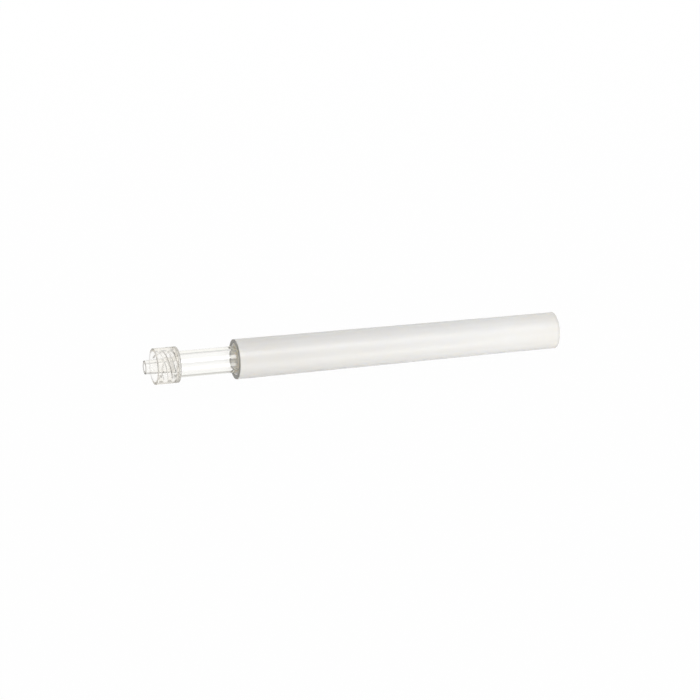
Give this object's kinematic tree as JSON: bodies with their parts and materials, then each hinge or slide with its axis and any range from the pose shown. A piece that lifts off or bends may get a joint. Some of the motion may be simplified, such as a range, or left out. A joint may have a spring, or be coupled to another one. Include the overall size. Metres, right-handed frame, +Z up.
{
  "type": "suction adapter tip",
  "caption": "Clear screw-lock suction nozzle on a clear tube, sealed by a soft ring inside a milky tapered sleeve that plugs into a dental suction valve; the tube pulls out and twists.",
  "frame": {"origin": "on the axis, at the end face of the sleeve's tail, where the part enters the suction valve", "axes": "+X along the axis out of the tail, so the nozzle points to -X; +Z up as the part lies in the picture"},
  "size_m": [0.1246, 0.0116, 0.0116],
  "materials": {
    "milky_plastic": "satin, milky, lets some light through",
    "soft_seal": "soft, satin white",
    "clear_plastic": "clear, polished",
    "moulded_clear_plastic": "clear with a faint warm tint, moulded gloss"
  },
  "bodies": {
    "sleeve": {"outer_sleeve": "milky_plastic"},
    "ring": {"seal_ring": "soft_seal"},
    "cannula": {"clear_tube": "clear_plastic", "lock_head": "moulded_clear_plastic"}
  },
  "joints": [
    {"name": "tube_pull", "type": "slide", "parent": "sleeve", "child": "ring", "axis": [-1, 0, 0], "range_m": [0, 0.086]},
    {"name": "tube_twist", "type": "hinge", "parent": "ring", "child": "cannula", "pos_m": [0, 0, 0], "axis": [-1, 0, 0], "continuous": true}
  ]
}
